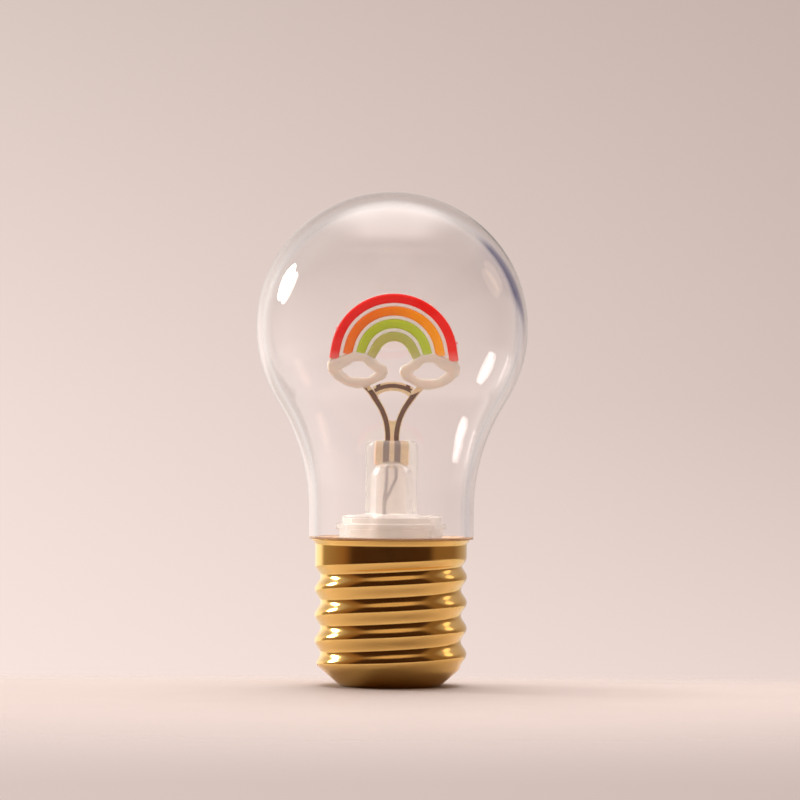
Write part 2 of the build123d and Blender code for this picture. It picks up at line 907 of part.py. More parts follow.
def board_sketch():
    """Outline of the rainbow's board: arches, cloud rings, fork and tab."""
    sketch = Pos(0, (tab_bottom + tab_top) / 2) * Rectangle(tab_width, tab_top - tab_bottom)
    sketch += Pos(0, (tab_bottom + fork_height) / 2) * Rectangle(
        2 * fork_half_width, fork_height - tab_bottom
    )
    for side in (-1, 1):
        sketch += leg(side, trace_width + 2 * board_border)
    half = trace_width / 2
    sketch += tie(tie_radius - half - tie_border_below, tie_radius + half + tie_border_above)
    for radius in arch_radii.values():
        sketch += arch(radius, arch_width - 2 * arch_board_inset, arch_leg_drop)
    for side in (-1, 1):
        rim = offset(cloud_outline(side), -cloud_board_inset)
        hole = offset(cloud_opening(side), cloud_board_inset)
        sketch += rim
        sketch -= hole
    return sketch


def trace_sketch(outline):
    """Copper on the fork, broken by the two bare pads."""
    half = trace_width / 2
    sketch = tie(tie_radius - half * 0.85, tie_radius + half * 0.85)
    for side in (-1, 1):
        sketch += leg(side, trace_width)
    for side, x, z in ((-1, -6.1, 87.45), (1, 6.7, 86.7)):
        sketch -= Pos(x, z) * Rot(0, 0, pad_turn) * Rectangle(pad_length, pad_width)
        sketch += Pos(side * 4.4, tie_top) * Rectangle(pad_width, 2 * pad_width)
    return sketch & outline


def board_traces(outline, clouds):
    """Copper on both faces of the board's fork, up to the clouds."""
    copper = trace_sketch(outline)
    shift = (board_thickness + trace_thickness) / 2
    front = Pos(0, -shift, 0) * upright(copper, trace_thickness)
    back = Pos(0, shift, 0) * upright(copper, trace_thickness)
    runs = (front + back - clouds[0] - clouds[1]).solids()
    longest = max(run.volume for run in runs)
    return Compound(children=[run for run in runs if run.volume > longest / 20])


def led_places(radius):
    """Angles, from straight up, of the chips along one arch."""
    lowest = cloud_height + cloud_half_height + led_clearance - arch_centre
    reach = degrees(acos(lowest / radius))
    count = int(pi * radius / led_pitch)
    step = 2 * reach / (count - 1)
    return [i * step - reach for i in range(count)]


def chips(radius):
    """Chips of one arch on the front of the board."""
    chip = Box(led_length, led_height, led_width)
    front = -(board_thickness + led_height) / 2
    centre = Pos(0, front, arch_centre)
    return [lean * centre * Rot(0, a, 0) * Pos(0, 0, radius) * chip for a in led_places(radius)]


def led_chips():
    """All light-emitting chips, under the strips."""
    every = []
    for radius in arch_radii.values():
        every += chips(radius)
    return Compound(children=every)


def filament(radius, board):
    """Coloured silicone strip round one arch of the board, ending at the clouds."""
    strip = upright(arch(radius, arch_width, arch_leg_drop), arch_thickness)
    rims = strip.edges().group_by(Axis.Y)
    strip = chamfer(rims[0] + rims[-1], arch_edge)
    strip -= board
    for chip in chips(radius):
        strip -= chip
    for side in (-1, 1):
        strip -= upright(cloud_outline(side), cloud_thickness + 1)
    return strip


def build():
    """Every sub-part under its node name."""
    plus, minus = lead_wires()
    outline = board_sketch()
    board = upright(outline, board_thickness)
    clouds = [cloud(-1, board), cloud(1, board)]
    parts = {
        "base_shell": base_shell(),
        "bulb_envelope": bulb_envelope(),
        "stem_post": stem_post(),
        "stem_screws": stem_screws(),
        "led_board": board,
        "board_traces": board_traces(outline, clouds),
        "led_chips": led_chips(),
        "cloud_left": clouds[0],
        "cloud_right": clouds[1],
        "lead_wire_positive": plus,
        "lead_wire_negative": minus,
        "battery_holder": battery_holder(),
        "battery_cell_front": cell("front", True),
        "battery_cell_left": cell("left", False),
        "battery_cell_right": cell("right", True),
        "top_positive_contact": top_positive_contact(),
        "top_bridge_contact": top_bridge_contact(),
        "bottom_bridge_contact": bottom_bridge_contact(),
        "bottom_terminal_contact": bottom_terminal_contact(),
        "lead_strip": lead_strip(),
        "battery_strip": battery_strip(),
        "series_resistor": series_resistor(),
        "switch_body": switch_body(),
        "switch_terminals": switch_terminals(),
        "switch_knob": switch_knob(),
        "contact_carrier": contact_carrier(),
        "battery_cover": battery_cover(),
    }
    for name, radius in arch_radii.items():
        parts[name + "_filament"] = filament(radius, board)
    return parts


os.makedirs("parts", exist_ok=True)
for node, shape in build().items():
    export_step(shape, "parts/" + node + ".step")
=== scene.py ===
"""Looks of the rainbow lamp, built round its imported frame. Everything is in metres."""

import math

import bmesh
import bpy
from bpy.props import FloatProperty, FloatVectorProperty, PointerProperty
from mathutils import Matrix, Vector


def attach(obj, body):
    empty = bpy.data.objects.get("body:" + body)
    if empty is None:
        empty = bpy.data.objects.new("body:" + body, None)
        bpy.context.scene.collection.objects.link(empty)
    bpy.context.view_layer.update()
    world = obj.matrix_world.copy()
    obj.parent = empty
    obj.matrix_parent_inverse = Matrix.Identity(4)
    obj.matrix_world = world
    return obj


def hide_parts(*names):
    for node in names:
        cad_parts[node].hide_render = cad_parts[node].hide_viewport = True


bl_info = {
    "name": "Rainbow Lamp",
    "version": (1, 0, 0),
    "blender": (4, 5, 0),
    "location": "3D View > Sidebar > Lamp",
    "description": "Clear bulb on a gold screw base, with an LED rainbow on a clear stem",
    "category": "Object",
}

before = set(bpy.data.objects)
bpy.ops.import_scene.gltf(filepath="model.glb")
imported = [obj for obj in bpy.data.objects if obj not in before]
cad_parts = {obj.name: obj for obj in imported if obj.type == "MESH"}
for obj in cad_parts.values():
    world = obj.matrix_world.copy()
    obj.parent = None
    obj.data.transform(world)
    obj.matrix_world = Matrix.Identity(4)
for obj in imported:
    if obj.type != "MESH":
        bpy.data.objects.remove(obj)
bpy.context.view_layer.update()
MM = 0.001


def mm(*values):
    """Millimetres as metres."""
    return tuple(v * MM for v in values)


def linear(red, green, blue):
    """Scene colour of an 8-bit display colour."""
    out = []
    for v in (red, green, blue):
        v /= 255
        out.append(v / 12.92 if v <= 0.04045 else ((v + 0.055) / 1.055) ** 2.4)
    return tuple(out)


def length(name, description, millimetres):
    """Size property, kept in metres."""
    return FloatProperty(
        name=name, description=description, default=millimetres * MM, min=0, precision=5,
        subtype="DISTANCE", unit="LENGTH",
    )


def colour(name, description, red, green, blue):
    """Colour property from an 8-bit display colour."""
    return FloatVectorProperty(
        name=name, description=description, default=linear(red, green, blue), size=3,
        min=0, max=1, subtype="COLOR",
    )


class BulbSettings(bpy.types.PropertyGroup):
    """Clear bulb."""
    radius: length("Radius", "Radius of the round part", 39.88)
    height: length("Height", "Height of the crown over the table", 145)
    wall: length("Wall", "Thickness of the bulb's wall", 2.6)
    crown: length("Crown", "Thickness of the wall at the very top", 3.8)
    neck: length("Neck", "Radius of the straight neck", 24.3)
    sweep: length("Sweep", "Radius of the hollow curve between neck and round part", 60)
    seat: length("Seat", "Height of the lip that the bulb stands on", 43)
    plug: length("Plug", "Radius of the plug in the base", 21)
    plug_foot: length("Plug foot", "Height of the plug's lower end", 40.8)
    plug_wall: length("Plug wall", "Thickness of the plug", 1.2)
    edge: length("Edge", "Rounding of the neck's foot", 0.2)
    frost_foot: length("Frost foot", "Height up to which the bulb is frosted", 43.3)
    frost_top: length("Frost top", "Height from which the bulb is clear", 43.8)


class StemSettings(bpy.types.PropertyGroup):
    """Clear stem."""
    radius: length("Radius", "Radius of the tube", 7.65)
    top: length("Top", "Height of the tube's top", 72.2)
    edge: length("Edge", "Rounding of the tube's top", 1.9)
    cavity: length("Cavity", "Radius of the domed hollow in the tube", 4.6)
    cavity_top: length("Cavity top", "Height of the dome's crown", 66.1)
    hollow: length("Hollow", "Radius of the hollow under the cap", 13.13)
    ceiling: length("Ceiling", "Height of that hollow's top", 49.2)
    flange: length("Flange", "Radius of the flange at the cap's foot", 19.4)
    flange_top: length("Flange top", "Height of the flange's top", 42)
    collar: length("Collar", "Radius of the cap over the flange", 15.2)
    rim: length("Rim", "Radius of the rim round the cap", 16.25)
    rim_foot: length("Rim foot", "Height of the rim's lower edge", 46)
    rim_top: length("Rim top", "Height of the rim's upper edge", 47.6)
    cap: length("Cap", "Radius of the cap over the rim", 14.6)
    cap_top: length("Cap top", "Height of the cap's top", 50.1)
    foot: length("Foot", "Height of the flange's lower side", 40.8)


class BaseSettings(bpy.types.PropertyGroup):
    """Gold screw base."""
    crest: length("Crest", "Largest radius of the thread", 22.4)
    root: length("Root", "Smallest radius of the thread", 20.7)
    pitch: length("Pitch", "Rise of the thread in one turn", 7.55)
    crest_height: length("Crest height", "Height of the lowest crest on the right", 9.4)
    band: length("Band", "Radius of the plain band", 22.3)
    lip: length("Lip", "Radius of the lip", 23.2)
    foot: length("Foot", "Radius of the foot", 14.65)
    mouth: length("Mouth", "Radius of the cover's mouth", 12.7)
    switch: length("Switch", "Height of the switch at the back", 37.6)
    lead: length("Lead", "Rise of the cover's grooves in one turn", 18)
    first_row: length("First row", "Height of the lowest row of points on the thread", 0.4)
    row_step: length("Row step", "Rise from one row to the next", 0.29)
    run_out: length("Run-out", "Height at which the thread ends, on average", 37.1)
    run_out_tilt: length("Run-out tilt", "Rise and fall of that height round the base", 1)
    shoulder: length("Shoulder", "Height of the slope from the band to the thread", 3.2)
    shoulder_depth: length("Shoulder depth", "Depth of that slope", 1.9)
    flare: length("Flare", "Height at which the band starts to flare", 40.6)
    top: length("Top", "Height of the lip's top", 43)
    socket: length("Socket", "Radius of the socket for the bulb's plug", 21.1)
    ledge: length("Ledge", "Height of the ledge under the plug", 39.6)
    bore: length("Bore", "Radius of the space for the cells", 18.9)
    collar: length("Collar", "Outer radius of the collar round the cover", 14.4)
    collar_bore: length("Collar bore", "Inner radius of the collar", 13.2)
    collar_top: length("Collar top", "Height of the collar's top", 6.6)
    mouth_top: length("Mouth top", "Height of the step inside the collar", 3.5)


class RainbowSettings(bpy.types.PropertyGroup):
    """Coloured strips and clouds."""
    centre: length("Centre", "Height of the arches' centre", 96.65)
    radius: length("Radius", "Middle radius of the outer strip", 17.25)
    pitch: length("Pitch", "Step from one strip to the next", 3.8)
    width: length("Width", "Width of a strip", 2.78)
    thickness: length("Thickness", "Thickness of a strip", 2)
    cloud_centre: length("Cloud centre", "Distance of a cloud's middle from the axis", 10.5)
    cloud_height: length("Cloud height", "Height of a cloud's middle", 92.3)
    cloud_thickness: length("Cloud thickness", "Thickness of a cloud", 2.6)
    lean: FloatProperty(
        name="Lean", description="Lean of the whole board to the right", default=math.radians(1),
        subtype="ANGLE", unit="ROTATION",
    )
    foot: length("Foot", "Height of the board's lower end", 64.8)
    leg_top: length("Leg top", "Height over the centre at which an arch's legs begin", 2.9)


class FinishSettings(bpy.types.PropertyGroup):
    """Colours of the finishes."""
    gold: colour("Gold", "Plated base", 240, 199, 119)
    red: colour("Red", "Outer strip", 232, 14, 2)
    orange: colour("Orange", "Second strip", 232, 108, 2)
    lime: colour("Lime", "Third strip", 174, 186, 42)
    olive: colour("Olive", "Inner strip", 176, 168, 84)
    cloud: colour("Cloud", "Milky silicone", 240, 228, 216)
    board: colour("Board", "Bare board", 240, 214, 168)
    trace: colour("Trace", "Lacquered copper", 112, 78, 58)
    wire: colour("Wire", "Insulation of the leads", 150, 138, 142)
    holder: colour("Holder", "White plastic parts", 238, 232, 226)


class StageSettings(bpy.types.PropertyGroup):
    """Camera, lights and table."""
    distance: length("Distance", "Camera to lamp", 1150)
    eye_height: length("Eye height", "Camera over the table", 66)
    aim_height: length("Aim height", "Point that the camera looks at", 83.85)
    aim_side: length("Aim side", "Shift of that point to the right", 2.4)
    roll: FloatProperty(
        name="Roll", description="Turn of the camera about its view", default=math.radians(0.35),
        subtype="ANGLE", unit="ROTATION",
    )
    focal: FloatProperty(name="Focal length", description="Lens in millimetres", default=176.15)
    key: FloatProperty(name="Key", description="Brightness of the lamp on the left", default=21.0)
    warm: FloatProperty(name="Warm", description="Brightness of the small lamp on the right", default=1.3)
    fill: FloatProperty(name="Fill", description="Brightness of the soft lamp overhead", default=1.6)
    low: FloatProperty(name="Low", description="Brightness of the low lamp at the back left", default=7.0)
    table: length("Table", "Radius of the table top", 600)


class LampSettings(bpy.types.PropertyGroup):
    """All settings of the lamp."""
    bulb: PointerProperty(type=BulbSettings)
    stem: PointerProperty(type=StemSettings)
    base: PointerProperty(type=BaseSettings)
    rainbow: PointerProperty(type=RainbowSettings)
    finish: PointerProperty(type=FinishSettings)
    stage: PointerProperty(type=StageSettings)


def fill_ramp(node, stops):
    """Gives a colour ramp its (position, colour) stops."""
    points = node.color_ramp.elements
    while len(points) < len(stops):
        points.new(0.5)
    for point, (position, value) in zip(points, stops):
        point.position = position
        point.color = (*value, 1)


class Finish:
    """Node material that is put together one node at a time."""

    def __init__(self, name):
        self.material = bpy.data.materials.new(name)
        self.material.use_nodes = True
        self.tree = self.material.node_tree
        self.tree.nodes.clear()
        self.output = self.add("ShaderNodeOutputMaterial")
        self.surface = self.add("ShaderNodeBsdfPrincipled")
        self.link(self.surface, "BSDF", self.output, "Surface")
        self.coords = self.add("ShaderNodeTexCoord")

    def add(self, kind, **settings):
        node = self.tree.nodes.new(kind)
        for key, value in settings.items():
            setattr(node, key, value)
        return node

    def link(self, source, out, target, into):
        self.tree.links.new(source.outputs[out], target.inputs[into])

    def set(self, **sockets):
        """Sets numbers and colours on the shader's own sockets, spaces written as _."""
        for key, value in sockets.items():
            socket = self.surface.inputs[key.replace("_", " ")]
            if socket.type == "RGBA":
                value = (*value, 1)
            socket.default_value = value

    def noise(self, scale, detail=2.0, stretch=None):
        """Noise on object coordinates, its scale in features a metre."""
        texture = self.add("ShaderNodeTexNoise")
        texture.inputs["Scale"].default_value = scale
        texture.inputs["Detail"].default_value = detail
        source, out = self.coords, "Object"
        if stretch:
            mapping = self.add("ShaderNodeMapping")
            mapping.inputs["Scale"].default_value = stretch
            self.link(source, out, mapping, "Vector")
            source, out = mapping, "Vector"
        self.link(source, out, texture, "Vector")
        return texture

    def place(self):
        """Object coordinates, taken apart."""
        node = self.add("ShaderNodeSeparateXYZ")
        self.link(self.coords, "Object", node, 0)
        return node

    def ramp(self, source, out, stops):
        """Colours along a source, from (position, colour) stops."""
        node = self.add("ShaderNodeValToRGB")
        fill_ramp(node, stops)
        self.link(source, out, node, "Fac")
        return node

    def span(self, source, out, low, high, start=0.3, end=0.7):
        """Numbers between two ends along a source."""
        node = self.add("ShaderNodeMapRange")
        for key, value in (("From Min", start), ("From Max", end), ("To Min", low), ("To Max", high)):
            node.inputs[key].default_value = value
        self.link(source, out, node, "Value")
        return node

    def tint(self, base, spread, scale, detail=3.0):
        """Base colour that wavers by a share of itself."""
        dark = tuple(c * (1 - spread) for c in base)
        light = tuple(min(1, c * (1 + spread)) for c in base)
        texture = self.noise(scale, detail)
        ramp = self.ramp(texture, "Fac", [(0.3, dark), (0.7, light)])
        self.link(ramp, "Color", self.surface, "Base Color")

    def rough(self, low, high, scale, detail=3.0, stretch=None):
        """Roughness that wavers between two values."""
        span = self.span(self.noise(scale, detail, stretch), "Fac", low, high)
        self.link(span, "Result", self.surface, "Roughness")

    def relief(self, scale, depth, strength=1.0, detail=2.0):
        """Fine relief, its depth in metres."""
        bump = self.add("ShaderNodeBump")
        bump.inputs["Strength"].default_value = strength
        bump.inputs["Distance"].default_value = depth
        self.link(self.noise(scale, detail), "Fac", bump, "Height")
        self.link(bump, "Normal", self.surface, "Normal")

    def clear_where(self, source, out):
        """Mixes the surface with nothing, by a factor."""
        clear = self.add("ShaderNodeBsdfTransparent")
        mix = self.add("ShaderNodeMixShader")
        self.link(source, out, mix, "Fac")
        self.link(self.surface, "BSDF", mix, 1)
        self.link(clear, "BSDF", mix, 2)
        self.link(mix, "Shader", self.output, "Surface")

    def let_lamps_through(self):
        """Lets lamp light pass straight through, so that what is inside is lit."""
        self.clear_where(self.add("ShaderNodeLightPath"), "Is Shadow Ray")


def blended(tint, share):
    """A colour with a share of warm white."""
    warm_white = (0.85, 0.72, 0.64)
    return tuple(c * (1 - share) + w * share for c, w in zip(tint, warm_white))


def dress(finish, *nodes):
    """Gives CAD nodes a finish."""
    for node in nodes:
        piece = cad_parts[node]
        piece.data.materials.clear()
        piece.data.materials.append(finish.material)


def settings():
    """The lamp's settings in this scene."""
    return bpy.context.scene.rainbow_lamp


def add_piece(name, bm, body, finish, replaces=(), sharp=35.0):
    """Makes a finished mesh a piece of the lamp."""
    bmesh.ops.remove_doubles(bm, verts=bm.verts, dist=1e-7)
    bmesh.ops.dissolve_degenerate(bm, edges=bm.edges, dist=1e-7)
    bmesh.ops.recalc_face_normals(bm, faces=bm.faces)
    for face in bm.faces:
        face.smooth = True
    for edge in bm.edges:
        edge.smooth = edge.calc_face_angle(0) < math.radians(sharp)
    mesh = bpy.data.meshes.new(name)
    bm.to_mesh(mesh)
    bm.free()
    mesh.materials.append(finish.material)
    piece = bpy.data.objects.new(name, mesh)
    bpy.context.scene.collection.objects.link(piece)
    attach(piece, body)
    if replaces:
        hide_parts(*replaces)
    return piece


def carve(bm, cutters):
    """Cuts closed shapes out of a closed mesh."""
    things = []
    for source in [bm, *cutters]:
        mesh = bpy.data.meshes.new("shape")
        source.to_mesh(mesh)
        source.free()
        things.append(bpy.data.objects.new("shape", mesh))
        bpy.context.scene.collection.objects.link(things[-1])
    for cutter in things[1:]:
        step = things[0].modifiers.new("cut", "BOOLEAN")
        step.operation = "DIFFERENCE"
        step.solver = "EXACT"
        step.object = cutter
    whole = things[0].evaluated_get(bpy.context.evaluated_depsgraph_get())
    out = bmesh.new()
    out.from_mesh(whole.to_mesh())
    whole.to_mesh_clear()
    for thing in things:
        bpy.data.meshes.remove(thing.data)
    return out


def slot_block(width, height, low, high, z, corner=0.0):
    """Upright block along Y, its corners seen from the back rounded."""
    bm = bmesh.new()
    shape = Matrix.Translation((0, (low + high) / 2, z)) @ Matrix.Diagonal((width, high - low, height, 1))
    bmesh.ops.create_cube(bm, size=1, matrix=shape)
    if corner:
        along = [e for e in bm.edges if abs(e.verts[0].co.y - e.verts[1].co.y) > (high - low) / 2]
        bmesh.ops.bevel(bm, geom=along, offset=corner, affect="EDGES", segments=8, profile=0.5, material=-1)
    return bm


class Outline:
    """Half section in the XZ plane, drawn from point to point and then turned about Z."""

    def __init__(self, r, z):
        self.bm = bmesh.new()
        self.start = self.tip = bmesh.ops.create_vert(self.bm, co=(r, 0, z))["vert"][0]

    def to(self, r, z):
        """Straight to a point."""
        new = bmesh.ops.extrude_vert_indiv(self.bm, verts=[self.tip])["verts"][0]
        new.co = (r, 0, z)
        self.tip = new

    def turn(self, r, z, angle, steps):
        """Arc about a centre, its angle in degrees and anticlockwise as drawn with Z up."""
        made = bmesh.ops.spin(
            self.bm, geom=[self.tip], cent=(r, 0, z), axis=(0, 1, 0), angle=-math.radians(angle),
            steps=steps,
        )
        self.tip = next(g for g in made["geom_last"] if isinstance(g, bmesh.types.BMVert))

    def round_off(self, corners, steps=5):
        """Straight runs with rounded corners, from (r, z, radius) points, to the last of them."""
        for (r, z, radius), (next_r, next_z, _) in zip(corners, corners[1:]):
            here = Vector((r, z))
            back = (Vector((self.tip.co.x, self.tip.co.z)) - here).normalized()
            ahead = (Vector((next_r, next_z)) - here).normalized()
            half = back.angle(ahead) / 2
            if radius == 0 or half > math.radians(89.5):
                self.to(r, z)
                continue
            first = here + back * radius / math.tan(half)
            self.to(first.x, first.y)
            centre = here + (back + ahead).normalized() * radius / math.sin(half)
            side = 1 if back.x * ahead.y - back.y * ahead.x < 0 else -1
            self.turn(centre.x, centre.y, side * (180 - math.degrees(2 * half)), steps)
        self.to(corners[-1][0], corners[-1][1])

    def close(self):
        """Joins the end to the start."""
        self.bm.edges.new((self.tip, self.start))

    def lathe(self, steps):
        """Turns the outline full circle."""
        bmesh.ops.spin(
            self.bm, geom=self.bm.verts[:] + self.bm.edges[:], cent=(0, 0, 0), axis=(0, 0, 1),
            angle=2 * math.pi, steps=steps, use_merge=True,
        )
        return self.bm


def clear_plastic(name, tint, ior, waviness, rough=(0.0, 0.025, 90)):
    """Clear moulded plastic with a little flow waviness."""
    finish = Finish(name)
    finish.set(Base_Color=tint, Transmission_Weight=1.0, IOR=ior)
    finish.rough(*rough)
    finish.relief(38, waviness, detail=1.0)
    finish.let_lamps_through()
    return finish


def moulded_plastic(name, tint, roughness, grain=0.00003):
    """Moulded opaque plastic."""
    finish = Finish(name)
    finish.tint(tint, 0.04, 120)
    finish.rough(roughness - 0.06, roughness + 0.08, 260)
    finish.relief(2600, grain, 0.4)
    finish.set(IOR=1.5)
    return finish


def plated_strip(name, tint, roughness):
    """Rolled and plated metal strip."""
    finish = Finish(name)
    finish.tint(tint, 0.06, 500)
    finish.rough(roughness - 0.06, roughness + 0.12, 900, detail=2.0, stretch=(1, 1, 6))
    finish.relief(3000, 0.00001, 0.5)
    finish.set(Metallic=1.0)
    return finish


class LAMP_OT_bulb(bpy.types.Operator):
    """Builds the clear bulb"""
    bl_idname = "lamp.bulb"
    bl_label = "Bulb"

    def execute(self, context):
        s = settings().bulb
        middle = s.height - s.radius
        rise = math.sqrt((s.radius + s.sweep) ** 2 - (s.neck + s.sweep) ** 2)
        tilt = math.degrees(math.asin(rise / (s.radius + s.sweep)))
        sweep_r = s.neck + s.sweep
        sweep_z = middle - rise
        bore = s.plug - s.plug_wall
        out = Outline(bore, s.plug_foot)
        out.round_off([
            (s.plug, s.plug_foot, 0.3 * MM),
            (s.plug, s.seat, 0.2 * MM),
            (s.neck, s.seat, s.edge),
            (s.neck, sweep_z, 0),
        ])
        out.turn(sweep_r, sweep_z, -tilt, 24)
        out.turn(0, middle, 90 + tilt, 72)
        out.tip.co.x = 0
        out.to(0, s.height - s.wall)
        out.turn(0, middle, -90 - tilt, 72)
        out.turn(sweep_r, sweep_z, tilt, 24)
        out.round_off([
            (s.neck - s.wall, s.seat + 0.5 * MM, 0.4 * MM),
            (bore, s.seat + 0.3 * MM, 0.2 * MM),
            (bore, s.plug_foot + 0.2 * MM, 0),
        ])
        out.close()
        bm = out.lathe(160)
        # the inner wall of the round part is flattened towards its top, which thickens the crown
        flat = (s.radius - s.crown) / (s.radius - s.wall)
        for v in bm.verts:
            rise = v.co.z - middle
            if rise > 0 and math.hypot(v.co.x, v.co.y, rise) < s.radius - s.wall / 2:
                v.co.z = middle + rise * flat
        tint = (1.0, 0.995, 0.995)
        finish = clear_plastic("clear_bulb", tint, 1.36, 0.00004)
        place = finish.place()
        rise = finish.span(place, "Z", 0, 1, s.frost_foot, s.frost_top)
        frost = finish.ramp(rise, "Result", [(0.0, linear(212, 170, 124)), (1.0, tint)])
        finish.link(frost, "Color", finish.surface, "Base Color")
        finish.link(rise, "Result", finish.surface, "Transmission Weight")
        add_piece("bulb", bm, "root", finish, ["bulb_envelope"])
        return {"FINISHED"}


class LAMP_OT_stem(bpy.types.Operator):
    """Builds the clear stem with its stepped cap"""
    bl_idname = "lamp.stem"
    bl_label = "Stem"

    def execute(self, context):
        s = settings().stem
        out = Outline(s.hollow, s.foot)
        out.round_off([
            (s.flange, s.foot, 0.2 * MM),
            (s.flange, s.flange_top, 0.3 * MM),
            (s.collar, s.flange_top, 0.3 * MM),
            (s.collar, s.rim_foot, 0.2 * MM),
            (s.rim, s.rim_foot, 0.3 * MM),
            (s.rim, s.rim_top, 0.4 * MM),
            (s.cap, s.rim_top, 0.3 * MM),
            (s.cap, s.cap_top, 0.5 * MM),
            (s.radius, s.cap_top, 0.7 * MM),
            (s.radius, s.top, s.edge),
            (0, s.top, 0),
        ], 6)
        out.to(0, s.cavity_top)
        out.turn(0, s.cavity_top - s.cavity, -90, 20)
        out.round_off([
            (s.cavity, s.ceiling, 0.4 * MM),
            (s.hollow, s.ceiling, 0.3 * MM),
            (s.hollow, s.foot + 0.1 * MM, 0),
        ])
        out.close()
        finish = clear_plastic("clear_stem", (0.96, 0.92, 0.88), 1.37, 0.00002, (0.12, 0.22, 60))
        place = finish.place()
        haze = finish.span(place, "Z", 0.73, 0.81, 0.049, 0.0525)
        finish.link(haze, "Result", finish.surface, "Transmission Weight")
        add_piece("stem", out.lathe(96), "root", finish, ["stem_post"])
        return {"FINISHED"}


class LAMP_OT_base(bpy.types.Operator):
    """Builds the gold base with its rounded thread"""
    bl_idname = "lamp.base"
    bl_label = "Gold base"

    cone_slope = 1.2
    shoulder_joint = 0.35 * MM
    cone_joint = 0.9 * MM
    crest_rise = 0.1 * MM

    def skin(self, s, angle, z):
        """Radius of the threaded skin at an angle and a height, with soft joints to band and cone."""
        middle = (s.crest + s.root) / 2
        half = (s.crest - s.root) / 2
        phase = angle - 2 * math.pi * (z - s.crest_height) / s.pitch
        thread = middle + half * math.cos(phase)
        top = s.run_out + s.run_out_tilt * math.cos(angle)
        fall = max(0.0, (top - z) / s.shoulder)
        shoulder = s.band - s.shoulder_depth * fall**2
        upper = (thread + shoulder + math.hypot(thread - shoulder, self.shoulder_joint)) / 2
        upper = min(upper, s.band + self.crest_rise * min(1.0, 2 * fall))
        if z > top:
            upper = s.band
        cone = s.foot + self.cone_slope * z
        return (upper + cone - math.hypot(upper - cone, self.cone_joint)) / 2

    def groove(self, s, start):
        """Sloping groove that one lug of the cover climbs."""
        turn = 72
        steps = 24
        middle = mm(12.55, 0, -1.4)
        half_width, half_height = mm(1.05, 0.8)
        bm = bmesh.new()
        shape = Matrix.Translation(middle) @ Matrix.Rotation(math.radians(90), 4, "X")
        shape = shape @ Matrix.Diagonal((half_width, half_height, 1, 1))
        bmesh.ops.create_grid(bm, x_segments=1, y_segments=1, size=1, matrix=shape)
        bmesh.ops.spin(
            bm, geom=bm.verts[:] + bm.edges[:] + bm.faces[:], cent=(0, 0, 0), axis=(0, 0, 1),
            angle=math.radians(turn), steps=steps, dvec=(0, 0, s.lead * turn / 360 / steps),
        )
        bmesh.ops.rotate(bm, verts=bm.verts, cent=(0, 0, 0), matrix=Matrix.Rotation(start, 3, "Z"))
        bmesh.ops.recalc_face_normals(bm, faces=bm.faces)
        return bm

    def execute(self, context):
        s = settings().base
        # the thread's points are first drawn as a plain cylinder, which nothing else lies on
        zone = 22.41 * MM
        rows = 128
        out = Outline(s.mouth, 0)
        out.round_off([(s.foot - 0.4 * MM, 0, 0), (s.foot, 0.15 * MM, 0)])
        for i in range(rows):
            out.to(zone, s.first_row + i * s.row_step)
        out.to(s.band, 37.9 * MM)
        out.to(s.band, s.flare)
        out.round_off([
            (s.band, s.flare + 1.1 * MM, 1.5 * MM),
            (s.lip, s.top - 0.25 * MM, 0.12 * MM),
            (s.lip, s.top, 0.1 * MM),
            (s.socket, s.top, 0.15 * MM),
            (s.socket, s.ledge, 0),
            (s.bore, s.ledge, 0),
            (s.bore, 5.6 * MM, 0),
            (s.collar, 1.9 * MM, 0),
            (s.collar, s.collar_top, 0),
            (s.collar_bore, s.collar_top, 0),
            (s.collar_bore, s.mouth_top, 0),
            (s.mouth, s.mouth_top, 0),
            (s.mouth, 0.1 * MM, 0),
        ])
        out.close()
        bm = out.lathe(160)
        for v in bm.verts:
            radius = math.hypot(v.co.x, v.co.y)
            if abs(radius - zone) < 2e-5:
                angle = math.atan2(v.co.y, v.co.x)
                scale = self.skin(s, angle, v.co.z) / radius
                v.co.x *= scale
                v.co.y *= scale
        # the switch's seat inside, its window and the hollow for the thumb, then the cover's grooves
        bm = carve(bm, [
            slot_block(*mm(8.8, 4.0, 16, 19.25), s.switch),
            slot_block(*mm(4.4, 1.9, 16, 25), s.switch, 0.3 * MM),
            slot_block(*mm(8.0, 3.4, 21.5, 25), s.switch, 1.68 * MM),
            *[self.groove(s, math.radians(a)) for a in (-62, 58, 178)],
        ])
        finish = Finish("gold_plating")
        f = settings().finish
        finish.tint(tuple(f.gold), 0.05, 45)
        finish.rough(0.11, 0.15, 220, detail=4.0)
        finish.relief(5200, 0.000006, 0.3)
        finish.set(Metallic=1.0)
        add_piece("gold_base", bm, "root", finish, ["base_shell"], sharp=40)
        return {"FINISHED"}


